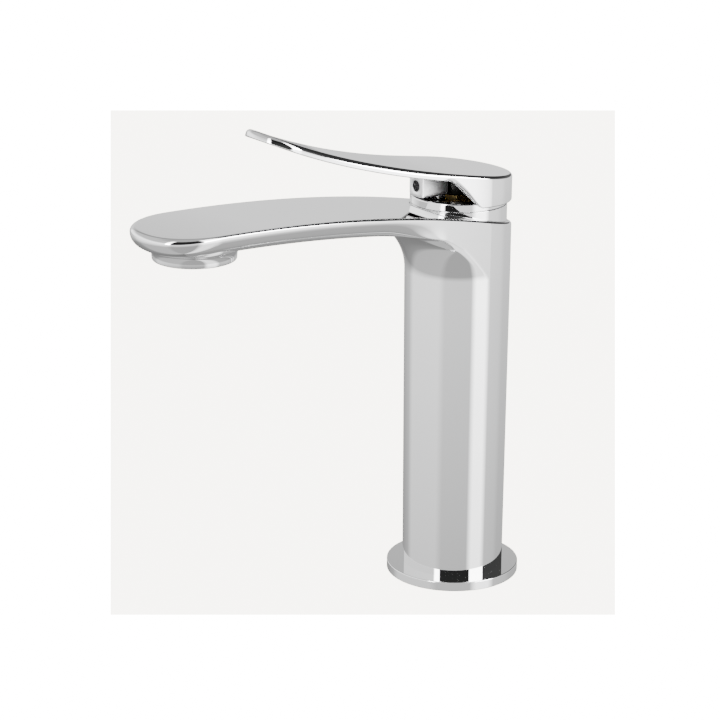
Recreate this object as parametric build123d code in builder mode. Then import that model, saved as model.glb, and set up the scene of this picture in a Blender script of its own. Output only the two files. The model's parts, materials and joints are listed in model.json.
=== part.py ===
from build123d import *
import os

# Single-lever basin mixer, in millimetres. Z is up, the deck's top face is z = 0, the column stands on the Z axis
# and the spout runs along -Y. The model is symmetric in X.
os.makedirs("parts", exist_ok=True)

# Column, flange and neck
column_r_base = 22.3
column_r_top = 23.0
flange_r = 29.3
flange_t = 4.2
bore_r = 18.8              # hollow of the column, for the hoses
neck_r = 21.0              # the two chromed rings under the lever
counterbore_r = 21.2       # pocket in the column's top that takes the neck

# Spout, as seen from the side: its top line rises forward and levels out at the tip
spout_half_w = 22.75
spout_straight_y = -134.8
spout_tip_y = -159.7
spout_depth = 9.0
spout_edge_r = 4.5         # rounding of the lower edge
top_line = [(24, 159.2), (0, 165.3), (-50, 174.2), (-100, 178.8), (-135, 179.8), (-161, 179.7)]
throat_r = 25.0            # large fillet between the column's front and the spout
throat_z = 139.7           # where it starts on the column

# Outlet under the tip
outlet_y = -134.1
outlet_z = 165.7
outlet_r = 17.2
aerator_r = 12.0           # M24 x 1
plenum_r = 10.5

# Cartridge, the 35 mm kind: heights of its layers, from the seat upwards
seat_z = 129.5
cartridge_r = 17.5
base_top_z = 137.5
fixed_disc_top_z = 141.5
moving_disc_top_z = 145.0
carrier_top_z = 148.5
rotor_flange_top_z = 151.5
housing_top_z = 153.5
nut_top_z = 158.2
housing_neck_z = 158.0
rotor_top_z = 166.0
rotor_r = 12.15
pivot_z = 160.0            # the pin that the lever tilts about
ball_z = 147.6             # the stem's lower end, which pushes the moving disc
disc_r = 10.8
port_xy = [(-7.5, -4), (7.5, -4), (0, 3)]     # hot, cold and mixed
port_r = 2.6

# Neck rings
slip_t = 1.0
gap_z = 169.6              # the shadow gap between the two rings
gap_t = 0.3
neck_top_z = 173.3

# Lever: a round-ended blade that narrows a little and rises towards its tip, on a hollow hub
hub_r = 22.9
hub_inner_r = 21.5
hub_floor_z = 172.5        # on the axis; the hub's lower edge falls towards the back
hub_floor_fall = 0.05      # per mm
hub_front_y = -7.0
blade_t = 3.0
roof_t = 2.4
blade_top = [(24, 181.5), (0, 185.0), (-20, 188.4), (-40, 192.6), (-60, 197.8), (-80, 204.3), (-109, 216.4)]
blade_tip_r = 15.1
blade_half_w = [(hub_r, 0), (21.2, -20), (18.7, -40), (16.6, -60), (15.5, -76), (blade_tip_r, -90.2)]
socket_w = 8.1             # square socket for the stem
boss_r = 7.4
lug_half_w = 4.6
lug_front_y = -23.1
lug_floor_z = 174.7
boss_floor_z = 177.2
screw_z = 179.4
screw_r = 2.5              # M5
screw_tip_y = -4.05
screw_len = 8.0

# Inlets, and the threaded hole for the fixing stud
inlet_xy = [(-8, -3), (8, -3)]
inlet_r = 4.5              # M10 x 1, at the crests
inlet_depth = 9.0
block_floor_z = 117.5
stud_y = 12.5
stud_r = 4.0               # M8
web_top_z = 22.0


def top_z(y):
    """Height of the spout's top line at y, between the points of top_line."""
    (y0, z0), (y1, z1) = next((a, b) for a, b in zip(top_line, top_line[1:]) if b[0] <= y <= a[0])
    return z0 + (z1 - z0) * (y - y0) / (y1 - y0)


def write(piece, label):
    piece.part.label = label
    export_step(piece.part, f"parts/{label}.step")


# Body

# The spout: its plan outline, cut to its side view
with BuildPart() as spout:
    with BuildSketch(Plane.XY.offset(130)):
        with BuildLine():
            right = Polyline((0, -2), (spout_half_w + 0.1, -2), (spout_half_w, spout_straight_y))
            tip = Spline(
                (spout_half_w, spout_straight_y),
                (0.736 * spout_half_w, spout_straight_y + 0.736 * (spout_tip_y - spout_straight_y)),
                (0, spout_tip_y),
                tangents=[(0, -1), (-1, 0)],
            )
            mirror(tip, about=Plane.YZ)
            mirror(right, about=Plane.YZ)
        make_face()
    extrude(amount=60)
    with BuildSketch(Plane.YZ.offset(-30)):
        with BuildLine():
            lower = Spline(*[(y, z - spout_depth) for y, z in top_line])
            Polyline(lower @ 0, (24, 185), (-161, 185), lower @ 1)
        make_face()
    extrude(amount=60, mode=Mode.INTERSECT)
    lower_edges = spout.edges().filter_by(lambda e: e.center().Z < top_z(e.center().Y) - 0.9 * spout_depth)
    fillet(lower_edges.filter_by(lambda e: e.center().Y < -20), radius=spout_edge_r)

# The throat: a fillet turned about the column's axis, kept to the spout's width
with BuildPart() as throat:
    with BuildSketch(Plane.XZ):
        with BuildLine():
            sweep_up = CenterArc((column_r_top + throat_r, throat_z), throat_r, 180, -82)
            Polyline(sweep_up @ 1, (0, (sweep_up @ 1).Y), (0, throat_z), sweep_up @ 0)
        make_face()
    revolve(axis=Axis.Z)
    with BuildSketch(Plane.XY.offset(130)):
        with Locations((0, -30)):
            Rectangle(2 * spout_half_w, 60)
    extrude(amount=40, mode=Mode.INTERSECT)

with BuildPart() as body:
    with BuildSketch(Plane.XZ):
        with BuildLine():
            Polyline(
                (0, 0.6), (20, 0.6), (20, flange_t), (column_r_base, flange_t), (column_r_top, 150),
                (column_r_top, 184), (0, 184), close=True,
            )
        make_face()
    revolve(axis=Axis.Z)
    add(spout.part)
    add(throat.part)
    # the round outlet under the tip
    with BuildSketch(Plane.XY.offset(outlet_z)):
        with Locations((0, outlet_y)):
            Circle(outlet_r)
    extrude(amount=9, taper=-2)
    # everything above the top line
    with BuildSketch(Plane.YZ.offset(-40)):
        with BuildLine():
            upper = Spline(*top_line)
            Polyline(upper @ 0, (24, 200), (-161, 200), upper @ 1)
        make_face()
    extrude(amount=80, mode=Mode.SUBTRACT)
    # the column's hollow below the inlets, which the hoses come up through
    with BuildSketch():
        Circle(bore_r)
    extrude(amount=block_floor_z, mode=Mode.SUBTRACT)
    # the stepped bore above the seat: cartridge, its seal, its nut and the neck rings
    with BuildSketch(Plane.XZ):
        with BuildLine():
            Polyline(
                (0, seat_z), (18.2, seat_z), (18.2, 147.5), (17.65, 147.5), (17.65, housing_top_z - 0.1),
                (19.9, housing_top_z - 0.1), (19.9, nut_top_z), (counterbore_r, nut_top_z),
                (counterbore_r, 185), (0, 185), close=True,
            )
        make_face()
    revolve(axis=Axis.Z, mode=Mode.SUBTRACT)
    # the two threaded inlets and the ports above them
    with BuildSketch(Plane.XY.offset(block_floor_z)):
        with Locations(*inlet_xy):
            Circle(inlet_r)
    extrude(amount=inlet_depth, mode=Mode.SUBTRACT)
    with BuildSketch(Plane.XY.offset(block_floor_z)):
        with Locations(*port_xy[:2]):
            Circle(port_r)
    extrude(amount=seat_z - block_floor_z, mode=Mode.SUBTRACT)
    # the waterway: a riser in the throat, a flat duct in the spout and the outlet's chamber
    with BuildSketch(Plane.YZ.offset(-6)):
        with BuildLine():
            Polyline(
                (-17, 133), (-20.3, 135), (-20.6, 142), (-22, 148), (-25, 154.5), (-29, 159), (-36, 163.6),
                (-44, 166.6), (-44, 171.2), (-34, 168), (-27, 163.5), (-22.6, 158.5), (-21.3, 153.4),
                (-19.4, 148.5), (-17, 147), close=True,
            )
        make_face()
    extrude(amount=12, mode=Mode.SUBTRACT)
    with BuildSketch(Plane.YZ.offset(-9)):
        duct_line = [(-40, 172.6), (-70, 176.4), (-100, 178.8), (outlet_y, 179.8)]
        with BuildLine():
            roof = Spline(*[(y, z - 2.2) for y, z in duct_line])
            floor = Spline(*[(y, z - 7) for y, z in duct_line])
            Line(roof @ 0, floor @ 0)
            Line(roof @ 1, floor @ 1)
        make_face()
    extrude(amount=18, mode=Mode.SUBTRACT)
    with BuildSketch(Plane.XY.offset(outlet_z)):
        with Locations((0, outlet_y)):
            Circle(aerator_r)
    extrude(amount=7.6, mode=Mode.SUBTRACT)
    with BuildSketch(Plane.XY.offset(outlet_z)):
        with Locations((0, outlet_y)):
            Circle(plenum_r)
    extrude(amount=11.8, mode=Mode.SUBTRACT)
    # the web at the foot, with the fixing stud's threaded hole
    with BuildSketch(Plane.XY.offset(flange_t)):
        with Locations((0, 14)):
            Rectangle(15, 12.8)
        with Locations((0, stud_y)):
            Circle(stud_r, mode=Mode.SUBTRACT)
        Circle(bore_r + 0.6, mode=Mode.INTERSECT)
    extrude(amount=web_top_z - flange_t)
write(body, "body")

# Base

with BuildPart() as base_flange:
    with BuildSketch():
        Circle(flange_r)
        Circle(20.1, mode=Mode.SUBTRACT)
    extrude(amount=flange_t)
    fillet(base_flange.edges().group_by(Axis.Z)[-1].sort_by(SortBy.LENGTH)[-1], radius=0.5)
    with BuildSketch():
        Circle(26)
        Circle(22, mode=Mode.SUBTRACT)
    extrude(amount=1.6, mode=Mode.SUBTRACT)
write(base_flange, "base_flange")

with BuildPart() as base_gasket:
    with BuildSketch():
        Circle(26)
        Circle(22, mode=Mode.SUBTRACT)
    extrude(amount=1.6)
write(base_gasket, "base_gasket")

# Cartridge

with BuildPart() as cartridge_base:
    with BuildSketch(Plane.XY.offset(seat_z)):
        Circle(cartridge_r)
        with Locations(*port_xy[:2]):
            Circle(port_r, mode=Mode.SUBTRACT)
    extrude(amount=base_top_z - seat_z)
    # the mixed water's port opens sideways, to the front
    with BuildSketch(Plane.XY.offset(seat_z + 3)):
        with Locations(port_xy[2]):
            Circle(2.4)
        with Locations((0, -9)):
            Rectangle(4.8, 24)
    extrude(amount=base_top_z - seat_z - 3, mode=Mode.SUBTRACT)
    # grooves for the seals round the two inlet ports, below and above
    for groove_z in (seat_z, base_top_z - 1):
        with BuildSketch(Plane.XY.offset(groove_z)):
            with Locations(*port_xy[:2]):
                Circle(4.2)
                Circle(port_r, mode=Mode.SUBTRACT)
        extrude(amount=1, mode=Mode.SUBTRACT)
write(cartridge_base, "cartridge_base")

for label, groove_z in (("port_seals", seat_z), ("disc_seals", base_top_z - 1)):
    with BuildPart() as seals:
        with BuildSketch(Plane.XY.offset(groove_z)):
            with Locations(*port_xy[:2]):
                Circle(4.15)
                Circle(port_r + 0.1, mode=Mode.SUBTRACT)
        extrude(amount=1)
    write(seals, label)

with BuildPart() as fixed_disc:
    with BuildSketch(Plane.XY.offset(base_top_z)):
        Circle(14)
        with Locations(*port_xy):
            Circle(port_r, mode=Mode.SUBTRACT)
    extrude(amount=fixed_disc_top_z - base_top_z)
write(fixed_disc, "fixed_disc")

with BuildPart() as moving_disc:
    with BuildSketch(Plane.XY.offset(fixed_disc_top_z + 0.03)):
        Circle(disc_r)
    extrude(amount=moving_disc_top_z - fixed_disc_top_z - 0.03)
    # the hollow under it that joins the ports
    with BuildSketch(Plane.XY.offset(fixed_disc_top_z)):
        with Locations((0, 2.6)):
            SlotOverall(18.4, 7)
    extrude(amount=2, mode=Mode.SUBTRACT)
write(moving_disc, "moving_disc")

with BuildPart() as disc_carrier:
    with BuildSketch(Plane.XY.offset(moving_disc_top_z)):
        Circle(disc_r)
        Rectangle(5.2, 5.2, mode=Mode.SUBTRACT)
    extrude(amount=carrier_top_z - moving_disc_top_z)
write(disc_carrier, "disc_carrier")

with BuildPart() as cartridge_housing:
    with BuildSketch(Plane.XZ):
        with BuildLine():
            Polyline(
                (14.1, base_top_z), (cartridge_r, base_top_z), (cartridge_r, 149), (16.6, 149), (16.6, 151),
                (cartridge_r, 151), (cartridge_r, housing_top_z), (14, housing_top_z), (14, housing_neck_z),
                (rotor_r + 0.05, housing_neck_z), (rotor_r + 0.05, 151.8), (15.7, 151.8), (15.7, 141.1),
                (14.1, 141.1), close=True,
            )
        make_face()
    revolve(axis=Axis.Z)
write(cartridge_housing, "cartridge_housing")

with BuildPart() as housing_seal:
    with BuildSketch(Plane.XZ):
        with Locations((17.12, 150)):
            Rectangle(1.0, 1.9)
    revolve(axis=Axis.Z)
write(housing_seal, "housing_seal")

with BuildPart() as cartridge_rotor:
    with BuildSketch(Plane.XZ):
        with BuildLine():
            Polyline(
                (0, 148.8), (15.4, 148.8), (15.4, rotor_flange_top_z), (rotor_r, rotor_flange_top_z),
                (rotor_r, rotor_top_z), (0, rotor_top_z), close=True,
            )
        make_face()
    revolve(axis=Axis.Z)
    # the slot the stem swings in: forward below the pin, backward above it
    with BuildSketch(Plane.YZ.offset(-4.3)):
        with BuildLine():
            Polyline(
                (-9.5, 148), (3.4, 148), (3.4, 154.8), (4.9, 156), (4.9, pivot_z + 0.5), (8.2, 168),
                (-5.4, 168), (-5.4, 156), close=True,
            )
        make_face()
    extrude(amount=8.6, mode=Mode.SUBTRACT)
    with BuildSketch(Plane.YZ.offset(-9.5)):
        with Locations((0, pivot_z)):
            Circle(1.5)
    extrude(amount=19, mode=Mode.SUBTRACT)
write(cartridge_rotor, "cartridge_rotor")

with BuildPart() as limit_ring:
    with BuildSketch(Plane.XY.offset(housing_neck_z + 0.4)):
        Circle(14)
        with PolarLocations(14, 30):
            Rectangle(0.8, 0.8, mode=Mode.SUBTRACT)
        Circle(rotor_r, mode=Mode.SUBTRACT)
    extrude(amount=3)
write(limit_ring, "limit_ring")

with BuildPart() as stem_pin:
    with BuildSketch(Plane.YZ.offset(-9.5)):
        with Locations((0, pivot_z)):
            Circle(1.5)
    extrude(amount=19)
write(stem_pin, "stem_pin")

with BuildPart() as stem:
    with BuildSketch(Plane.XY.offset(pivot_z - 3.2)):
        Rectangle(8, 8)
    extrude(amount=183.5 - pivot_z + 3.2)
    chamfer(stem.edges().group_by(Axis.Z)[-1], length=0.6)
    with BuildSketch(Plane.XY.offset(ball_z)):
        Circle(1.7)
    extrude(amount=pivot_z - ball_z)
    with Locations((0, 0, ball_z)):
        Sphere(2.2)
    with BuildSketch(Plane.YZ.offset(-5)):
        with Locations((0, pivot_z)):
            Circle(1.55)
    extrude(amount=10, mode=Mode.SUBTRACT)
write(stem, "stem")

with BuildPart() as retaining_nut:
    with BuildSketch(Plane.XY.offset(housing_top_z)):
        Circle(19.85)
        Circle(14.1, mode=Mode.SUBTRACT)
    extrude(amount=nut_top_z - housing_top_z)
    with BuildSketch(Plane.XY.offset(nut_top_z - 2)):
        with PolarLocations(15, 6):
            Rectangle(3.4, 3, mode=Mode.ADD)
    extrude(amount=2, mode=Mode.SUBTRACT)
write(retaining_nut, "retaining_nut")

# Neck

with BuildPart() as slip_ring:
    with BuildSketch(Plane.XY.offset(nut_top_z)):
        Circle(neck_r)
        Circle(14.6, mode=Mode.SUBTRACT)
    extrude(amount=slip_t)
write(slip_ring, "slip_ring")

with BuildPart() as trim_ring:
    with BuildSketch(Plane.XZ):
        with BuildLine():
            Polyline(
                (14.8, nut_top_z + slip_t), (neck_r, nut_top_z + slip_t), (neck_r, gap_z),
                (neck_r - 0.9, gap_z), (neck_r - 0.9, gap_z + gap_t), (17.6, gap_z + gap_t), (17.6, 163.5),
                (14.8, 163.5), close=True,
            )
        make_face()
    revolve(axis=Axis.Z)
write(trim_ring, "trim_ring")

with BuildPart() as dome_cover:
    with BuildSketch(Plane.XZ):
        with BuildLine():
            Polyline(
                (15.4, 164), (17.55, 164), (17.55, gap_z + gap_t), (neck_r, gap_z + gap_t),
                (neck_r, neck_top_z - 1.2),
            )
            RadiusArc((neck_r, neck_top_z - 1.2), (neck_r - 1.2, neck_top_z), -1.2)
            Polyline((neck_r - 1.2, neck_top_z), (15.4, neck_top_z), (15.4, 164))
        make_face()
    revolve(axis=Axis.Z)
write(dome_cover, "dome_cover")

# Lever

with BuildPart() as lever_handle:
    with BuildSketch(Plane.XY.offset(160)):
        with BuildLine():
            hub = CenterArc((0, 0), hub_r, 0, 180)
            edge = Spline(*blade_half_w, tangents=[(0, -1), (0, -1)])
            tip = CenterArc((0, blade_half_w[-1][1]), blade_tip_r, -90, 90)
            mirror(tip, about=Plane.YZ)
            mirror(edge, about=Plane.YZ)
        make_face()
    extrude(amount=60)
    # side view: the blade's two faces, the arch over the neck and the hub's sloping lower edge
    with BuildSketch(Plane.YZ.offset(-30)):
        with BuildLine():
            upper = Spline(*blade_top)
            under = Spline(
                (-109, 216.4 - blade_t), (-80, 204.3 - blade_t), (-60, 197.8 - blade_t), (-40, 192.6 - blade_t),
                (-25, 186.1), (-18.4, 183.3), (-12.4, 178.3), (hub_front_y, hub_floor_z + 0.4),
                tangents=[(1, -0.44), (1, -0.9)],
            )
            Line(upper @ 1, under @ 0)
            Polyline(
                under @ 1,
                (hub_front_y, hub_floor_z - hub_floor_fall * hub_front_y),
                (24, hub_floor_z - hub_floor_fall * 24),
                upper @ 0,
            )
        make_face()
    extrude(amount=60, mode=Mode.INTERSECT)
    # the hub's hollow, below its roof
    with BuildSketch(Plane.XY.offset(165)):
        Circle(hub_inner_r)
        with Locations((0, -9.5)):
            Rectangle(2 * hub_inner_r - 0.2, 19)
    hollow = extrude(amount=40, mode=Mode.PRIVATE)
    with BuildSketch(Plane.YZ.offset(-30), mode=Mode.PRIVATE) as roof_line:
        with BuildLine():
            ceiling = Spline(*[(y, z - roof_t) for y, z in blade_top[:4]])
            Polyline(ceiling @ 0, (24, 160), (-40, 160), ceiling @ 1)
        make_face()
    below_roof = extrude(roof_line.sketch, amount=60, mode=Mode.PRIVATE)
    add(hollow & below_roof, mode=Mode.SUBTRACT)
    # the stem's socket boss, and the lug in front of it with the set screw's hole
    with BuildSketch(Plane.XY.offset(boss_floor_z)):
        Circle(boss_r)
    extrude(amount=183.6 - boss_floor_z)
    with BuildSketch(Plane.XY.offset(lug_floor_z)):
        with Locations((0, lug_front_y / 2 - 4)):
            Rectangle(2 * lug_half_w, -lug_front_y - 8)
    extrude(amount=186 - lug_floor_z)
    with BuildSketch(Plane.XY.offset(boss_floor_z)):
        Rectangle(socket_w, socket_w)
    extrude(amount=183.7 - boss_floor_z, mode=Mode.SUBTRACT)
    with BuildSketch(Plane.XZ.offset(0)):
        with Locations((0, screw_z)):
            Circle(screw_r)
    extrude(amount=30, mode=Mode.SUBTRACT)
write(lever_handle, "lever_handle")

with BuildPart() as set_screw:
    with BuildSketch(Plane.XZ.offset(-screw_tip_y)):
        with Locations((0, screw_z)):
            Circle(screw_r - 0.02)
    extrude(amount=screw_len)
    with BuildSketch(Plane.XZ.offset(-screw_tip_y + screw_len - 2.5)):
        with Locations((0, screw_z)):
            RegularPolygon(1.25, 6, major_radius=False)
    extrude(amount=2.5, mode=Mode.SUBTRACT)
write(set_screw, "set_screw")

# Aerator

with BuildPart() as aerator_housing:
    with BuildSketch(Plane.XY.offset(outlet_z + 0.4)):
        with Locations((0, outlet_y)):
            Circle(aerator_r - 0.02)
            Circle(10, mode=Mode.SUBTRACT)
    extrude(amount=5.4)
    with BuildSketch(Plane.XY.offset(outlet_z + 0.4)):
        with Locations((0, outlet_y)):
            Circle(10)
            Circle(8.6, mode=Mode.SUBTRACT)
    extrude(amount=1)
write(aerator_housing, "aerator_housing")

with BuildPart() as aerator_screen:
    with BuildSketch(Plane.XY.offset(outlet_z + 1.4)):
        with Locations((0, outlet_y)):
            Circle(9.98)
        with Locations((0, outlet_y)):
            with GridLocations(1.9, 1.9, 6, 6):
                Rectangle(1.3, 1.3, mode=Mode.SUBTRACT)
    extrude(amount=0.6)
write(aerator_screen, "aerator_screen")

with BuildPart() as aerator_diffuser:
    with BuildSketch(Plane.XY.offset(outlet_z + 2)):
        with Locations((0, outlet_y)):
            Circle(9.98)
            Circle(8.8, mode=Mode.SUBTRACT)
    extrude(amount=3.8)
    with BuildSketch(Plane.XY.offset(outlet_z + 4.6)):
        with Locations((0, outlet_y)):
            Circle(8.9)
            with PolarLocations(6.4, 14):
                Circle(0.7, mode=Mode.SUBTRACT)
            with PolarLocations(3.4, 8):
                Circle(0.7, mode=Mode.SUBTRACT)
    extrude(amount=1.2)
write(aerator_diffuser, "aerator_diffuser")

with BuildPart() as flow_regulator:
    with BuildSketch(Plane.XY.offset(outlet_z + 5.8)):
        with Locations((0, outlet_y)):
            Circle(8.4)
            with PolarLocations(5.2, 10):
                Circle(0.9, mode=Mode.SUBTRACT)
    extrude(amount=2.4)
write(flow_regulator, "flow_regulator")

with BuildPart() as aerator_gasket:
    with BuildSketch(Plane.XY.offset(outlet_z + 5.8)):
        with Locations((0, outlet_y)):
            Circle(aerator_r - 0.02)
            Circle(8.6, mode=Mode.SUBTRACT)
    extrude(amount=1.8)
write(aerator_gasket, "aerator_gasket")
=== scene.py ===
import bpy
import json
import math
import numpy as np
from mathutils import Euler, Matrix, Vector


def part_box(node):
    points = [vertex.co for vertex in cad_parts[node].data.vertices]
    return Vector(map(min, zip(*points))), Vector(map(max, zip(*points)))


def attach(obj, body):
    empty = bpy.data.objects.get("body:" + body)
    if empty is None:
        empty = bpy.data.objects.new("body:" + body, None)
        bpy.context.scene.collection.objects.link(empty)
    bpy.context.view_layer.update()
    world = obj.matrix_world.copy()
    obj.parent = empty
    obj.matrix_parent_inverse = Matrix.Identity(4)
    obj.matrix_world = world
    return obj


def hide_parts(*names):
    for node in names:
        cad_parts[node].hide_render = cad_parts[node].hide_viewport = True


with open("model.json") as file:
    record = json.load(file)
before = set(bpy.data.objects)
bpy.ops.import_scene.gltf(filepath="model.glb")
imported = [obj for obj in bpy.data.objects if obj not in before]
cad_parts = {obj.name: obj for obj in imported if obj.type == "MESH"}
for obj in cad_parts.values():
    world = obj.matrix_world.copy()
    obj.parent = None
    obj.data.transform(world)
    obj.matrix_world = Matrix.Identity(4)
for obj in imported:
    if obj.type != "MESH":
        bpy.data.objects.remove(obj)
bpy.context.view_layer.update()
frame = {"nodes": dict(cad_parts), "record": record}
mm = 0.001
print("frame loaded")


camera = {
    "distance": 1067.4 * mm,     # over the deck, from the column's axis
    "height": 446.5 * mm,
    "bearing": 51.79,            # of the camera from the column, in degrees to the right of the spout's side
    "heading": 54.04,            # the way it looks, in the same degrees
    "pitch": 18.13,              # down from level
    "roll": 0.35,
    "lens": 127.9,
    "sensor": 36,
}


def addCamera():
    # at its bearing and distance, rolled about its line of sight, tipped down and turned to its heading
    bearing = math.radians(camera["bearing"])
    turn = Euler((math.radians(90 - camera["pitch"]), 0, math.radians(camera["heading"]))).to_matrix()
    turn = turn @ Matrix.Rotation(math.radians(camera["roll"]), 3, "Z")
    place = Vector((math.sin(bearing), -math.cos(bearing), 0)) * camera["distance"]
    data = bpy.data.cameras.new("camera")
    data.lens = camera["lens"]
    data.sensor_width = camera["sensor"]
    data.dof.use_dof = False
    obj = bpy.data.objects.new("camera", data)
    obj.matrix_world = Matrix.Translation(place + Vector((0, 0, camera["height"]))) @ turn.to_4x4()
    bpy.context.scene.collection.objects.link(obj)
    bpy.context.scene.camera = obj
    return obj


cameraObject = addCamera()


class Value:
    # a socket's number, vector or shader. Sums, differences, products and quotients add their Math nodes
    def __init__(self, graph, socket):
        self.graph, self.socket = graph, socket

    def maths(self, operation, *others):
        return self.graph.maths(operation, self, *others)

    def __add__(self, other):
        return self.graph.maths("ADD", self, other)

    def __sub__(self, other):
        return self.graph.maths("SUBTRACT", self, other)

    def __rsub__(self, other):
        return self.graph.maths("SUBTRACT", other, self)

    def __mul__(self, other):
        return self.graph.maths("MULTIPLY", self, other)

    def __truediv__(self, other):
        return self.graph.maths("DIVIDE", self, other)

    def __rtruediv__(self, other):
        return self.graph.maths("DIVIDE", other, self)

    __radd__ = __add__
    __rmul__ = __mul__

    def above(self, limit):
        return self.maths("GREATER_THAN", limit)

    def below(self, limit):
        return self.maths("LESS_THAN", limit)

    def clamped(self):
        # kept between 0 and 1
        return self.graph.add("Clamp", {"Value": self})


class Graph:
    # the node tree of a material or of the world
    def __init__(self, owner):
        owner.use_nodes = True
        self.owner, self.tree = owner, owner.node_tree
        self.nodes = self.tree.nodes
        self.nodes.clear()

    def plug(self, value, socket):
        # a value is linked, and a plain number or colour is written in
        if isinstance(value, Value):
            self.tree.links.new(value.socket, socket)
        else:
            socket.default_value = value

    def add(self, kind, sockets=None, settings=None, output=0):
        # a node of one type: its settings first, then what goes into its sockets, by name or number
        node = self.nodes.new("ShaderNode" + kind)
        for name, value in (settings or {}).items():
            setattr(node, name, value)
        for place, value in (sockets or {}).items():
            self.plug(value, node.inputs[place])
        return Value(self, node.outputs[output]) if node.outputs else None

    def maths(self, operation, *values):
        return self.add("Math", dict(enumerate(values)), {"operation": operation})

    def noise(self, scale, detail):
        place = self.add("TexCoord", output="Object")
        return self.add("TexNoise", {"Vector": place, "Scale": scale, "Detail": detail})

    def place(self):
        # the three coordinates of a point on the piece
        parted = self.add("SeparateXYZ", {0: self.add("TexCoord", output="Object")})
        return [Value(self, socket) for socket in parted.socket.node.outputs]

    def mix(self, factor, first, second):
        # a colour between two: the first at factor 0 and the second at 1
        return self.add("Mix", {0: factor, 6: first, 7: second}, {"data_type": "RGBA"}, 2)

    def mixShaders(self, factor, first, second):
        return self.add("MixShader", {0: factor, 1: first, 2: second})

    def bump(self, height, strength, distance):
        return self.add("Bump", {"Height": height, "Strength": strength, "Distance": distance})


# What chrome sees round it, by compass: degrees to the right of the camera, and brightness. One ring lies
# above the horizon, where the dark room and two softboxes are, and one below it, where the pale table is
studio = {
    "above": [
        (-180, 0.90), (-152, 0.95), (-148, 1.9), (-44, 2.0), (-41, 18), (-32, 18), (-30, 0.04), (38, 0.04),
        (40, 18), (72, 18), (73, 0.09), (166, 0.09), (172, 0.90), (180, 0.90),
    ],
    "below": [
        (-180, 0.50), (-150, 0.60), (-128, 0.80), (-112, 1.55), (-42, 1.6), (-28, 1.12), (30, 1.10),
        (42, 4.6), (64, 4.6), (76, 1.25), (105, 1.15), (120, 0.90), (180, 0.80),
    ],
    "ceiling": 1.3,                   # brightness overhead
    "ceilingFrom": (0.80, 8),         # the height, as a sine, where it starts, and how fast it comes in
    "meeting": (-0.02, 25),           # the same for the upper ring, just under the horizon
    "dimming": (2.25, 4.0),           # brightness at the horizon, and its loss with height
    "dimmingLimits": (0.45, 1.35),
    "pageColour": (20, 20, 20, 1),    # what the camera sees round the card
    "cardColour": (7.5, 7.2, 6.6, 1),
    "cardDistance": 2.2,              # from the camera, in metres like the next two
    "cardSize": 0.434,
    "cardShift": (0.0024, -0.0022),
}


def ring(graph, turn, stops):
    # brightness along straight lines between the stops, with a full turn counted from 0 to 1
    highest = max(level for place, level in stops)
    found = graph.add("FloatCurve", {"Value": turn})
    mapping = found.socket.node.mapping
    curve = mapping.curves[0]
    for place, level in stops[1:-1]:
        curve.points.new((place + 180) / 360, level / highest)
    curve.points[0].location = (0, stops[0][1] / highest)
    curve.points[-1].location = (1, stops[-1][1] / highest)
    for point in curve.points:
        point.handle_type = "VECTOR"
    mapping.update()
    return found * highest


def lightStudio():
    # the pieces see the lower ring, the upper ring and the ceiling, one above the other. The camera sees a
    # plain page instead
    world = bpy.data.worlds.new("studio")
    bpy.context.scene.world = world
    graph = Graph(world)
    heading = math.radians(camera["heading"])
    right = (math.cos(heading), math.sin(heading), 0)
    near = (math.sin(heading), -math.cos(heading), 0)
    dot = {"operation": "DOT_PRODUCT"}
    way = graph.add("TexCoord", output="Generated")
    rightward = graph.add("VectorMath", {0: way, 1: right}, dot, "Value")
    nearward = graph.add("VectorMath", {0: way, 1: near}, dot, "Value")
    height = graph.add("SeparateXYZ", {0: way}, output="Z")
    turn = rightward.maths("ARCTAN2", nearward) / (2 * math.pi) + 0.5
    above = ring(graph, turn, studio["above"])
    below = ring(graph, turn, studio["below"])
    start, pace = studio["ceilingFrom"]
    upper = above + (studio["ceiling"] - above) * ((height - start) * pace).clamped()
    start, pace = studio["meeting"]
    upShare = ((height - start) * pace).clamped()
    # all of it dims away from the horizon, upwards and downwards
    level, loss = studio["dimming"]
    least, most = studio["dimmingLimits"]
    dimming = (level - height.maths("ABSOLUTE") * loss).maths("MAXIMUM", least).maths("MINIMUM", most)
    level = (below + (upper - below) * upShare) * dimming
    room = graph.add("Background", {"Color": graph.add("CombineColor", {0: level, 1: level, 2: level})})
    page = graph.add("Background", {"Color": studio["pageColour"]})
    seen = graph.add("LightPath", output="Is Camera Ray")
    graph.add("OutputWorld", {"Surface": graph.mixShaders(seen, room, page)})


def hangCard():
    # a square card behind the object, square to the camera. Only the camera sees it, and only from in front
    half = studio["cardSize"] / 2
    data = bpy.data.meshes.new("card")
    corners = [(-half, -half, 0), (half, -half, 0), (half, half, 0), (-half, half, 0)]
    data.from_pydata(corners, [], [(0, 1, 2, 3)])
    obj = bpy.data.objects.new("card", data)
    away = Matrix.Translation((*studio["cardShift"], -studio["cardDistance"]))
    obj.matrix_world = cameraObject.matrix_world @ away
    bpy.context.scene.collection.objects.link(obj)
    graph = Graph(bpy.data.materials.new("card"))
    lit = graph.add("Emission", {"Color": studio["cardColour"]})
    clear = graph.add("BsdfTransparent")
    behind = graph.add("NewGeometry", output="Backfacing")
    graph.add("OutputMaterial", {"Surface": graph.mixShaders(behind, lit, clear)})
    data.materials.append(graph.owner)
    for ray in ("diffuse", "glossy", "transmission", "volume_scatter", "shadow"):
        setattr(obj, "visible_" + ray, False)


lightStudio()
hangCard()
print("studio lit")


def surfaced(graph, inputs):
    # the graph's material, once a Principled shader with these inputs is its surface
    graph.add("OutputMaterial", {"Surface": graph.add("BsdfPrincipled", inputs)})
    return graph.owner


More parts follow.
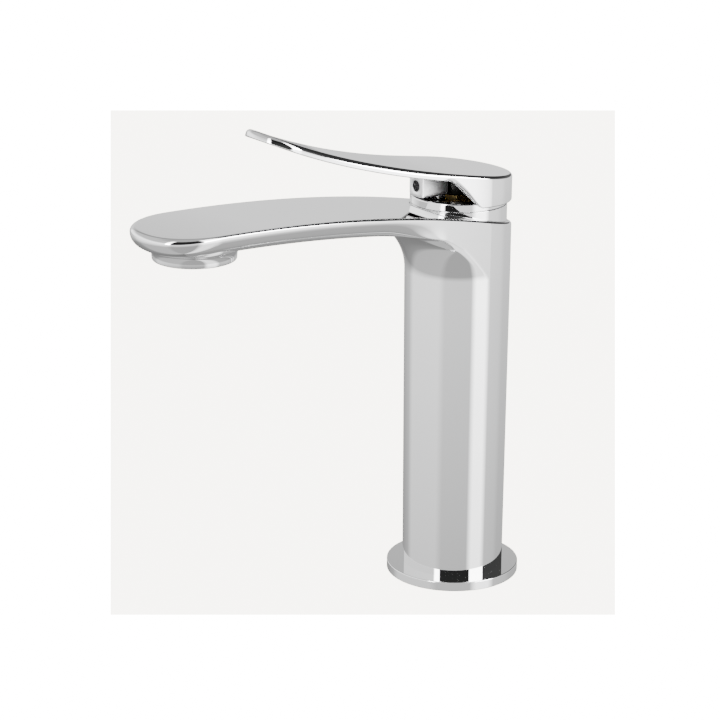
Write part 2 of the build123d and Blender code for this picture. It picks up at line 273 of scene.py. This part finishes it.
def makeChrome(name, tint=(0.90, 0.905, 0.91, 1), haze=0.012, hollow=None):
    # a mirror whose tint and haze drift a little over centimetres. Given a hollow, shade is painted dark
    # inside it
    graph = Graph(bpy.data.materials.new(name))
    cloud = graph.noise(38, 4)
    colour = graph.mix(cloud, tint, (0.93, 0.93, 0.93, 1))
    roughness = cloud * 0.02 + haze
    if hollow:
        # painted shade: inside the hub, where the hollow lies in shadow, the colour is darkened and the
        # surface made dull, and the lug is dull
        x, y, z = graph.place()
        aside = x.maths("ABSOLUTE")
        fromAxis = (x * x + y * y).maths("SQRT")
        underRoof = (z + y * hollow["roofSlope"]).below(hollow["roof"])
        beside = (aside.above(hollow["lug"]) + y.above(hollow["lugBack"])).clamped()
        inside = fromAxis.below(hollow["radius"]) * underRoof * beside
        lug = aside.below(hollow["lug"]) * y.below(hollow["lugBack"])
        lug = lug * fromAxis.below(hollow["lugReach"]) * underRoof
        colour = graph.mix(inside, colour, hollow["colour"])
        roughness = roughness + inside * hollow["haze"] + lug * hollow["lugHaze"]
    return surfaced(graph, {"Base Color": colour, "Metallic": 1.0, "Roughness": roughness})


def makeMetal(name, dark, light, roughness):
    # bare metal: two tones in slow clouds, and a fine grain in its haze and its surface
    graph = Graph(bpy.data.materials.new(name))
    grain = graph.noise(900, 3)
    cloud = graph.noise(70, 4)
    return surfaced(graph, {
        "Base Color": graph.mix(cloud, dark, light),
        "Metallic": 1.0,
        "Roughness": grain * 0.16 + cloud * 0.08 + roughness,
        "Normal": graph.bump(grain, 0.25, 0.00004),
    })


def makeMoulded(name, dark, light, roughness, bumpStrength=0.2):
    # plastic, rubber or ceramic: two tones in slow clouds, and a fine grain in its surface
    graph = Graph(bpy.data.materials.new(name))
    grain = graph.noise(1400, 2)
    cloud = graph.noise(45, 4)
    return surfaced(graph, {
        "Base Color": graph.mix(cloud, dark, light),
        "Roughness": cloud * 0.12 + roughness,
        "Normal": graph.bump(grain, bumpStrength, 0.00005),
    })


# the hub's hollow, where shade is painted: its mask, the painted shade's colour, the haze added inside, and
# the lug kept out of it
leverHollowShade = {
    "radius": 22.1 * mm,
    "roof": 183.9 * mm,               # height of the roof over the column's axis
    "roofSlope": 0.157,
    # painted shade: the dark colour put on the hollow's inner walls
    "colour": (0.035, 0.034, 0.033, 1),
    "haze": 0.35,
    "lug": 6.8 * mm,                  # half the width kept bright round the lug
    "lugBack": -9.0 * mm,
    "lugReach": 25.0 * mm,
    "lugHaze": 0.3,
}


finishes = {
    "chrome": makeChrome("chrome"),
    "flange_chrome": makeChrome("flangeChrome"),
    "lever_chrome": makeChrome("leverChrome", hollow=leverHollowShade),
    "ring_chrome": makeChrome("ringChrome"),
    "aerator_chrome": makeChrome("aeratorChrome", (0.78, 0.78, 0.79, 1), 0.12),
    "brass": makeMetal("brass", (0.55, 0.38, 0.14, 1), (0.74, 0.55, 0.24, 1), 0.22),
    "steel": makeMetal("steel", (0.42, 0.43, 0.44, 1), (0.56, 0.57, 0.58, 1), 0.18),
    "screw_steel": makeMetal("screwSteel", (0.045, 0.045, 0.048, 1), (0.09, 0.09, 0.095, 1), 0.34),
    "rubber": makeMoulded("rubber", (0.010, 0.010, 0.011, 1), (0.024, 0.024, 0.025, 1), 0.60, 0.5),
    "cartridge_plastic": makeMoulded("cartridgePlastic", (0.62, 0.62, 0.60, 1), (0.72, 0.72, 0.70, 1), 0.42),
    "rotor_plastic": makeMoulded("rotorPlastic", (0.020, 0.022, 0.026, 1), (0.040, 0.043, 0.048, 1), 0.42),
    "carrier_plastic": makeMoulded("carrierPlastic", (0.02, 0.05, 0.14, 1), (0.03, 0.07, 0.19, 1), 0.40),
    "limit_plastic": makeMoulded("limitPlastic", (0.30, 0.012, 0.010, 1), (0.42, 0.02, 0.016, 1), 0.30),
    "slip_plastic": makeMoulded("slipPlastic", (0.70, 0.70, 0.68, 1), (0.80, 0.80, 0.78, 1), 0.35),
    "screen_plastic": makeMoulded("screenPlastic", (0.42, 0.43, 0.43, 1), (0.55, 0.56, 0.56, 1), 0.38),
    "regulator_plastic": makeMoulded("regulatorPlastic", (0.015, 0.10, 0.03, 1), (0.03, 0.16, 0.05, 1), 0.40),
    "disc_ceramic": makeMoulded("discCeramic", (0.74, 0.72, 0.66, 1), (0.84, 0.82, 0.77, 1), 0.12, 0.05),
}

for part in frame["record"]["subparts"]:
    node = frame["nodes"][part["node"]]
    node.data.materials.clear()
    node.data.materials.append(finishes[part["material_slot"]])
print("materials made")


def meshPiece(name, grids, material, body, nodes):
    # one object from grids of points, each rows x columns x 3 in millimetres. A grid's rows and columns are
    # joined to their neighbours, and its outline is left open
    points, faces, start = [], [], 0
    for grid in grids:
        rows, columns = grid.shape[:2]
        index = start + np.arange(rows * columns).reshape(rows, columns)
        corners = [index[:-1, :-1], index[:-1, 1:], index[1:, 1:], index[1:, :-1]]
        faces.append(np.stack(corners, -1).reshape(-1, 4))
        points.append(grid.reshape(-1, 3) * mm)
        start += rows * columns
    points, faces = np.concatenate(points), np.concatenate(faces)
    data = bpy.data.meshes.new(name)
    data.vertices.add(len(points))
    data.vertices.foreach_set("co", points.ravel())
    data.loops.add(faces.size)
    data.loops.foreach_set("vertex_index", faces.ravel())
    data.polygons.add(len(faces))
    data.polygons.foreach_set("loop_start", np.arange(0, faces.size, 4))
    data.polygons.foreach_set("use_smooth", np.ones(len(faces), bool))
    data.update(calc_edges=True)
    data.validate()
    obj = bpy.data.objects.new(name, data)
    bpy.context.scene.collection.objects.link(obj)
    weld = obj.modifiers.new("weld", "WELD")
    weld.merge_threshold = 0.002 * mm
    data.materials.append(material)
    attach(obj, body)
    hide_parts(*nodes)
    return obj


def span(first, last, count):
    # evenly spaced numbers
    return np.linspace(first, last, count)


def quarter(radius, steps=8):
    # a quarter round: how far it has come in from the wall, and how far it has risen, from the wall's end on
    turn = span(0, math.pi / 2, steps)
    return radius * (1 - np.cos(turn)), radius * np.sin(turn)


def rounded(corners, radius, steps=6):
    # a profile through corners with each inner corner rounded, and short guards where straight and round meet
    mostOfSide, guard = 0.45, 1.15
    corners = [np.array(c, float) for c in corners]
    path = [corners[0]]
    for before, here, after in zip(corners, corners[1:], corners[2:]):
        back, on = before - here, after - here
        reach = min(radius, mostOfSide * np.linalg.norm(back), mostOfSide * np.linalg.norm(on))
        back, on = back / np.linalg.norm(back), on / np.linalg.norm(on)
        path.append(here + back * reach * guard)
        for t in span(0, 1, steps):
            path.append(here + back * reach * (1 - t) ** 2 + on * reach * t ** 2)
        path.append(here + on * reach * guard)
    path.append(corners[-1])
    return np.array(path)


def turned(profile, centreY=0.0, steps=256):
    # a profile of (radius, height) points swept once round an upright axis through (0, centreY)
    profile = np.asarray(profile, float)
    angle = span(0, 2 * math.pi, steps + 1)
    x = profile[:, None, 0] * np.cos(angle)
    y = centreY + profile[:, None, 0] * np.sin(angle)
    z = np.broadcast_to(profile[:, None, 1], x.shape)
    return np.stack([x, y, z], -1)


spout = {
    "halfWidth": (23.0, 22.75),      # at the column and where the tip's curve begins
    "straightTo": -134.8,
    "tip": -159.7,
    "tipPower": 2.26,                # 2 would make the tip an ellipse
    "rim": (1.0, 2.3),                # rounding of the top's edge, along the sides and at the tip
    "rimGrows": (132, 156),           # how far out it changes from the one to the other
    "depth": 9.0,
    "edgeTop": 1.2,                  # where the lower edge's rounding starts, below the top
    "edgeIn": 8.0,
    "edgeGrows": (24, 56),           # how far out the lower edge starts to be round, and is fully round
    "well": 21.45,                    # radius of the well's edge in the top
    "wellWall": 21.2,                 # and of its wall below the bevel
    "wellFloor": 158.2,
    "throatRadius": 25.0,
    "throatStart": 139.7,
    "throatTurn": 82,                 # degrees of the throat's bend
    "fillet": 1.6,                    # between the throat and the spout's side
    "columnBase": 22.34,
    "columnTop": 23.0,
    "foot": 4.2,
    "outletRadius": 17.3,
    "outletBore": 12.02,
    "outletHeights": (165.7, 167.3, 173.3),    # of its face, its wall's upper end and the bore's end
    "outletFlare": (3.6, 4.2),       # out and up, of the ellipse that joins it to the underside
    "flareTurn": 72,                  # degrees of that ellipse
}


outletY = (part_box("aerator_housing")[0].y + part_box("aerator_housing")[1].y) / 2 / mm


def spoutTop(y):
    # height of the body's top: a cubic in y
    s = y / 100
    return 165.283 - 22.576 * s - 10.132 * s**2 - 1.04 * s**3


def smooth(value, low, high):
    # 0 up to low and 1 from high on, with an even S between
    t = np.clip((value - low) / (high - low), 0, 1)
    return t * t * (3 - 2 * t)


def spoutOutline():
    # half the spout's plan outline, from the column to the tip, and its outward normals. The side is a
    # straight line and the tip a quarter of a superellipse
    wide, narrow = spout["halfWidth"]
    near = -spout["well"] * np.sin(span(0, math.pi / 2, 56))
    far = span(-spout["well"] - 0.3, spout["straightTo"], 90)
    ySide = np.concatenate([near, far])
    xSide = wide + (narrow - wide) * ySide / spout["straightTo"]
    turn = span(0, math.pi / 2, 150)[1:]
    power = 2 / spout["tipPower"]
    xTip = narrow * np.cos(turn).clip(0) ** power
    yTip = spout["straightTo"] + (spout["tip"] - spout["straightTo"]) * np.sin(turn) ** power
    x, y = np.concatenate([xSide, xTip]), np.concatenate([ySide, yTip])
    alongX, alongY = np.gradient(x), np.gradient(y)
    length = np.hypot(alongX, alongY)
    normalX, normalY = -alongY / length, alongX / length
    normalX[-1], normalY[-1] = 0, -1
    return x, y, normalX, normalY


def spoutSkin(side):
    # the spout's skin on one side. At each point of the outline a line starts at the top's centre (or the
    # well's edge), goes over the rim, down the wall, round the elliptic lower edge and back under to the
    # centre
    x, y, normalX, normalY = spoutOutline()
    narrowRim, tipRim = spout["rim"]
    rim = (narrowRim + (tipRim - narrowRim) * smooth(-y, *spout["rimGrows"]))[:, None]
    rimIn, rimUp = quarter(1, 10)
    turn = span(0, math.pi / 2, 26)[1:]
    edgeHeight = spout["depth"] - spout["edgeTop"]
    edgeIn = spout["edgeIn"] * (1 - np.cos(turn))
    edgeDown = edgeHeight * np.sin(turn)
    wallFoot = np.maximum(rim, spout["edgeTop"]) + 0.1
    inset = np.concatenate([rim + 0.12, rim * rimIn[::-1], 0 * rim, 0 * rim + edgeIn], 1)
    depth = np.concatenate([
        0 * rim, rim * (1 - rimUp[::-1]), wallFoot,
        wallFoot + edgeDown * (spout["depth"] - wallFoot) / edgeHeight,
    ], 1)
    # near the column the lower edge is square, and hidden in the throat
    roundness = smooth(-y, *spout["edgeGrows"])[:, None]
    inset = np.where(depth > wallFoot, inset * roundness, inset)
    px = np.maximum(x[:, None] - normalX[:, None] * inset, 0)
    py = y[:, None] - normalY[:, None] * inset
    start = np.sqrt(np.clip(spout["well"] ** 2 - y**2, 0, None))
    across = span(0, 1, 20)[:-1]
    topX = start[:, None] + (px[:, :1] - start[:, None]) * across
    topY = np.broadcast_to(py[:, :1], topX.shape)
    underX = px[:, -1:] * span(1, 0, 16)[1:]
    underY = np.broadcast_to(py[:, -1:], underX.shape)
    allX = np.concatenate([topX, px, underX], 1)
    allY = np.concatenate([topY, py, underY], 1)
    depths = np.concatenate([0 * topX, depth, np.full_like(underX, spout["depth"])], 1)
    grid = np.stack([side * allX, allY, spoutTop(allY) - depths], -1)
    return grid if side > 0 else grid[:, ::-1]


def columnSkin():
    # the column and the throat. At each height the section is a circle, and in front, inside the throat, it
    # is the nearer of the throat's circle and the spout's side, joined by a small fillet
    wide, narrow = spout["halfWidth"]
    taper = (narrow - wide) / spout["straightTo"]
    foot, start, bend = spout["foot"], spout["throatStart"], spout["throatRadius"]
    lastTurn = math.radians(spout["throatTurn"])
    straightRows, bentRows = 10, 66
    turn = np.concatenate([np.zeros(straightRows), span(0, lastTurn, bentRows)])
    low = np.concatenate([span(foot, start, straightRows + 1)[:-1], np.full(bentRows, start)])
    angle = span(0, 2 * math.pi, 433)
    rear = angle <= math.pi
    risen = np.clip((low - foot) / (start - foot), 0, 1)
    columnRadius = (spout["columnBase"] + (spout["columnTop"] - spout["columnBase"]) * risen)[:, None]
    front = columnRadius + bend * (1 - np.cos(turn))[:, None]
    away = np.abs(np.cos(angle)).clip(1e-4)
    flank = (wide - 0.02) / away / (1 + taper * np.abs(np.sin(angle)) / away)
    soft = np.clip((front - columnRadius) * 0.3, 1e-6, spout["fillet"])
    share = np.clip(0.5 + 0.5 * (flank - front) / soft, 0, 1)
    throatRadius = flank + (front - flank) * share - soft * share * (1 - share)
    radius = np.where(rear, columnRadius, throatRadius)
    x, y = radius * np.cos(angle), radius * np.sin(angle)
    rise = np.where(rear, spoutTop(y) - spout["rim"][0] - start, bend * math.sin(lastTurn))
    z = low[:, None] + rise * (np.sin(turn) / math.sin(lastTurn))[:, None]
    # in front the throat stays inside the spout's rounded lower edge
    share = np.clip((spoutTop(y) - z - spout["edgeTop"]) / (spout["depth"] - spout["edgeTop"]), 0, 1)
    inset = spout["edgeIn"] * smooth(-y, *spout["edgeGrows"]) * (1 - np.sqrt(1 - share**2))
    noLimit = 99
    limit = np.where(y < -spout["well"], wide + taper * y - 0.03 - inset, noLimit)
    return np.stack([np.clip(x, -limit, limit), y, z], -1)


def rearRim():
    # the rim behind the neck: half round in plan, over the rim and into the well that holds the neck's rings
    rim = spout["rim"][0]
    rimIn, rimUp = quarter(rim)
    inset = np.concatenate([[0, 0], rimIn, [rim + 0.12, spout["columnTop"] - spout["well"]]])
    drop = np.concatenate([[rim + 0.1, rim + 0.05], rim - rimUp, [0, 0]])
    radius = spout["columnTop"] - inset
    angle = span(0, math.pi, 361)
    x, y = radius[:, None] * np.cos(angle), radius[:, None] * np.sin(angle)
    return np.stack([x, y, spoutTop(y) - drop[:, None]], -1)


def wellWall():
    # the well's edge, a narrow bevel that follows the top, and its wall down to the nut
    wall = spout["wellWall"]
    angle = span(0, 2 * math.pi, 361)
    radius = np.array([spout["well"], wall + 0.05, wall, wall, wall])
    x, y = radius[:, None] * np.cos(angle), radius[:, None] * np.sin(angle)
    share = np.array([0, 0, 0, 0.05, 1])[:, None]
    drop = np.array([0, 0.2, 0.35, 0.35, 0.35])[:, None]
    return np.stack([x, y, (spoutTop(y) - drop) * (1 - share) + spout["wellFloor"] * share], -1)


def outletProfile():
    # up inside the outlet, over its rounded rim, and out along a quarter ellipse into the underside
    radius, bore = spout["outletRadius"], spout["outletBore"]
    face, wallEnd, boreEnd = spout["outletHeights"]
    lip = rounded([(bore, boreEnd), (bore, face), (radius - 0.15, face), (radius, wallEnd)], 0.6)
    wide, high = spout["outletFlare"]
    turn = np.radians(span(0, spout["flareTurn"], 20))[1:]
    bow = np.stack([radius + wide * (1 - np.cos(turn)), wallEnd + high * np.sin(turn)], 1)
    edge = bow[-1] + np.array([[0.25, 0.3], [0.4, 0.8], [0.4, 2.2]])
    return np.concatenate([lip, bow, edge])


# radius and height along the column's hollow, from below, and down the cartridge's seat, from above
hollowProfile = [(22.3, spout["foot"]), (18.8, spout["foot"]), (18.8, 117.5), (0.01, 117.5)]
seatProfile = [
    (spout["wellWall"], spout["wellFloor"]), (19.9, spout["wellFloor"]), (19.9, 153.4), (17.65, 153.4),
    (17.65, 147.5), (18.2, 147.5), (18.2, 129.5), (0.01, 129.5),
]

meshPiece(
    "bodyShell",
    [spoutSkin(1), spoutSkin(-1), columnSkin(), rearRim(), wellWall(), turned(outletProfile(), outletY, 192),
     turned(hollowProfile, steps=128), turned(seatProfile, steps=128)],
    finishes["chrome"], "faucet_body", ["body"],
)
print("body made")


flange = {
    "bore": 20.1,
    "outer": 29.34,
    "height": 4.2,
    "groove": (22.0, 26.0, 1.6),      # the seal's, in its underside: two radii and the depth
    "edge": 0.35,
}


def flangeProfile():
    # once round its section, from its inner foot up the bore, over the top and back through the groove
    bore, outer, height = flange["bore"], flange["outer"], flange["height"]
    near, far, deep = flange["groove"]
    corners = [(near, 0.02), (bore, 0.02), (bore, height), (outer, height), (outer, 0), (far, 0), (far, deep),
               (near, deep), (near, 0.02)]
    return rounded(corners, flange["edge"])


neck = {
    "outer": 21.0,
    "lowerBores": (14.8, 17.6),                    # the lower ring's, under and over its step
    "lowerHeights": (159.2, 163.5, 169.6, 169.9),  # of its foot, its step, its shadow groove and its top
    "grooveRadius": 20.1,
    "upperBore": 15.4,
    "skirt": 17.55,                                # of the upper ring, where it drops into the lower one
    "upperHeights": (164.0, 169.9, 173.3),         # of its skirt's end, its underside and its top
    "crown": 1.25,                                 # rounding of its top
}


def lowerRingProfile():
    # once round its section, from the step in its bore down, out, up, over the shadow groove and back
    narrow, wide = neck["lowerBores"]
    foot, step, groove, top = neck["lowerHeights"]
    corners = [(wide, step), (narrow, step), (narrow, foot), (neck["outer"], foot), (neck["outer"], groove),
               (neck["grooveRadius"], groove), (neck["grooveRadius"], top), (wide, top), (wide, step)]
    return rounded(corners, 0.15)


def upperRingProfile():
    # up its skirt and out to its wall with small edges, then over its round crown and down its bore
    outer, bore, skirt = neck["outer"], neck["upperBore"], neck["skirt"]
    foot, under, top = neck["upperHeights"]
    lower = rounded([(skirt, foot), (skirt, under), (outer, under), (outer, under + 1.8)], 0.2)
    upper = [(outer, under + 2.0), (outer, top), (bore, top), (bore, foot), (skirt, foot)]
    return np.concatenate([lower, rounded(upper, neck["crown"], 10)])


meshPiece("flangeRing", [turned(flangeProfile())], finishes["flange_chrome"],
          "faucet_body", ["base_flange"])
meshPiece("lowerNeckRing", [turned(lowerRingProfile())], finishes["ring_chrome"],
          "faucet_body", ["trim_ring"])
meshPiece("upperNeckRing", [turned(upperRingProfile())], finishes["ring_chrome"],
          "faucet_body", ["dome_cover"])
print("neck made")


lever = {
    "hub": 22.9,
    "tipCentre": -91.1,
    "tipHalfWidth": 15.2,
    "tipLength": 14.1,
    "waist": 0.771,                   # below 1, the blade narrows sooner
    "rim": (1.4, 1.9),                # rounding of the top's edge, on the hub and on the blade
    "rimGrows": (10, 34),             # how far out it changes from the one to the other
    "blade": 3.3,                     # thickness
    "roof": 2.4,
    "wall": 1.38,
    "front": -4.5,                    # where the arch over the neck begins
    "archEnd": -24.5,
    "hollowEnd": -23.5,
    "foot": 171.5,
    "footFall": 0.03,                # per mm towards the back
    "footEdge": (0.5, 1.9),           # rounding of the wall's lower edge, and what it gains over the arch
    "squareFrom": (16, 40),           # how far out the edge starts to stand square to the top, and does
    "square": 0.92,
}


def leverTop(y):
    # height of the lever's top: a cubic in y
    s = y / 100
    return 184.97 - 15.66 * s + 6.68 * s**2 - 4.93 * s**3


def leverOutline():
    # half the lever's plan outline, from the back to the tip. The hub is round, the blade narrows along a
    # stretched cosine, and the tip is closed by an ellipse
    turn = span(math.pi / 2, 0, 90)
    xHub, yHub = lever["hub"] * np.cos(turn), lever["hub"] * np.sin(turn)
    end, narrow = lever["tipCentre"], lever["tipHalfWidth"]
    yBlade = np.concatenate([
        span(0, lever["front"], 14)[1:],
        span(lever["front"] - 0.02, lever["hollowEnd"], 44),
        span(lever["hollowEnd"] - 0.02, end, 130),
    ])
    wide = 0.5 + 0.5 * np.cos(math.pi * (yBlade / end) ** lever["waist"])
    xBlade = narrow + (lever["hub"] - narrow) * wide
    tipTurn = span(0, math.pi / 2, 90)[1:]
    xTip, yTip = narrow * np.cos(tipTurn), end - lever["tipLength"] * np.sin(tipTurn)
    x, y = np.concatenate([xHub, xBlade, xTip]), np.concatenate([yHub, yBlade, yTip])
    alongX, alongY = np.gradient(x), np.gradient(y)
    length = np.hypot(alongX, alongY).clip(1e-9)
    normalX, normalY = -alongY / length, alongX / length
    normalX[0], normalY[0], normalX[-1], normalY[-1] = 0, 1, 0, -1
    return x, y, normalX, normalY


def leverFoot(y):
    # height of the wall's lower end: the hub's sloping edge, then the arch over the neck, then the blade's
    # underside
    front, archEnd = lever["front"], lever["archEnd"]
    hub = lever["foot"] - lever["footFall"] * y
    blade = leverTop(y) - lever["blade"]
    t = np.clip((front - y) / (front - archEnd), 0, 1)
    meet = leverTop(archEnd) - lever["blade"]
    arch = hub + (meet - hub) * np.sin(t ** 1.3 * math.pi / 2)
    return np.where(y >= front, hub, np.where(y > archEnd, np.minimum(arch, blade), blade))


def leverSkin(side):
    # the lever's skin on one side: over the rim, down the wall to its foot, and back. In the hub the line
    # goes up the inner wall to the roof, and under the blade straight to the centre
    x, y, normalX, normalY = leverOutline()
    hubRim, bladeRim = lever["rim"]
    rim = hubRim + (bladeRim - hubRim) * smooth(-y, *lever["rimGrows"])
    rimIn, rimUp = quarter(1, 10)
    low = leverFoot(y)
    hollow = y >= lever["hollowEnd"]
    top = leverTop(y)
    shelf = np.where(hollow, top - lever["roof"], low)
    thinEdge, archEdge = lever["footEdge"]
    edge = thinEdge + archEdge * smooth(-y, 4, 13) * smooth(y, -25, -18)
    footIn, footUp = quarter(1.0, 6)
    columns = [(rim + 0.12, top)]
    columns += [(rim * inset, top - rim * (1 - up)) for inset, up in zip(rimIn[::-1], rimUp[::-1])]
    columns += [(0.0, low + edge + 0.05)]
    columns += [(inset * edge, low + edge * (1 - up)) for inset, up in zip(footIn, footUp)]
    wall = np.maximum(lever["wall"], edge + 0.12)
    columns += [(edge + 0.03, low), (wall - 0.05, low), (wall, low + 0.05 * hollow)]
    columns += [(wall, shelf), (wall + 0.05, shelf)]
    inset = np.stack([np.broadcast_to(c[0], y.shape) for c in columns], 1)
    height = np.stack([np.broadcast_to(c[1], y.shape) for c in columns], 1)
    px = np.maximum(x[:, None] - normalX[:, None] * inset, 0)
    py = y[:, None] - normalY[:, None] * inset
    # the blade's edge is square to its sloping top, so what lies lower also lies further forward
    onBlade = smooth(-y, *lever["squareFrom"])[:, None]
    lean = (leverTop(y - 0.5) - leverTop(y + 0.5))[:, None] * onBlade
    depth = top[:, None] - height
    rise = leverTop(py) - top[:, None]
    nearTop = depth < 1.4
    height = height + rise * onBlade + rise * (1 - onBlade) * nearTop
    py = py - depth * lean / np.hypot(1, lean) * lever["square"]
    topX = px[:, :1] * span(0, 1, 18)[:-1]
    topY = np.broadcast_to(py[:, :1], topX.shape)
    underX = px[:, -1:] * span(1, 0, 14)[1:]
    underY = np.broadcast_to(py[:, -1:], underX.shape)
    underZ = np.broadcast_to(height[:, -1:], underX.shape)
    grid = np.stack([
        side * np.concatenate([topX, px, underX], 1),
        np.concatenate([topY, py, underY], 1),
        np.concatenate([leverTop(topY), height, underZ], 1),
    ], -1)
    return grid if side > 0 else grid[:, ::-1]


lug = {
    "middle": 179.4,                  # height of the screw's hole
    "hole": 2.5,
    "holeEnd": -12.5,
    "halfWidth": 4.6,
    "foot": 174.7,
    "rise": 6.2,                      # of its top over the hole's middle
    "corner": 0.22,                   # 1 would make its section an ellipse, and 0 a rectangle
    "front": -23.1,
    "back": -9.4,
}


def lugSkin():
    # the lug under the blade: from inside the screw's hole, over its front face, which grows from the hole's
    # circle to a rounded rectangle, and back along its sides
    angle = span(0, 2 * math.pi, 97)
    c, s = np.cos(angle), np.sin(angle)
    middle, hole, front, back = lug["middle"], lug["hole"], lug["front"], lug["back"]
    boxX = lug["halfWidth"] * np.sign(c) * np.abs(c) ** lug["corner"]
    boxZ = np.where(s < 0, middle - lug["foot"], lug["rise"]) * np.sign(s) * np.abs(s) ** lug["corner"]
    rows = []
    for share, y in [
        (0, lug["holeEnd"]), (0, front + 0.2), (0, front + 0.1), (0.04, front),
        (0.9, front), (0.97, front + 0.1), (1, front + 0.5), (1, front + 0.7),
        (1, back - 0.2), (1, back - 0.1), (0.9, back), (0.4, back),
    ]:
        x = hole * c * (1 - share) + boxX * share
        rows.append(np.stack([x, np.full_like(c, y), middle + hole * s * (1 - share) + boxZ * share], -1))
    return np.stack(rows)[:, ::-1]


boss = {
    "radius": 8.4,
    "halfSocket": 4.05,               # half the width of the stem's square socket
    "socketEnd": 183.2,
    "face": 173.9,
    "bevel": 0.7,
    "sunk": 1.5,                      # how far its upper end stays under the lever's top
}


def socketSkin():
    # the boss round the stem, whose lower face grows from the square socket to a circle
    angle = span(0, 2 * math.pi, 97)
    c, s = np.cos(angle), np.sin(angle)
    square = boss["halfSocket"] / np.maximum(np.abs(c), np.abs(s))
    face, upper = boss["face"], leverTop(boss["radius"] * s) - boss["sunk"]
    rows = []
    for share, z in [
        (0, boss["socketEnd"]), (0, face + 0.1), (0.05, face),
        (0.90, face), (1, face + boss["bevel"]), (1, upper),
    ]:
        radius = square * (1 - share) + boss["radius"] * share
        rows.append(np.stack([radius * c, radius * s, np.broadcast_to(z, c.shape)], -1))
    return np.stack(rows)


meshPiece(
    "leverShell", [leverSkin(1), leverSkin(-1), lugSkin(), socketSkin()],
    finishes["lever_chrome"], "lever", ["lever_handle"],
)
print("lever made")


bpy.context.view_layer.update()
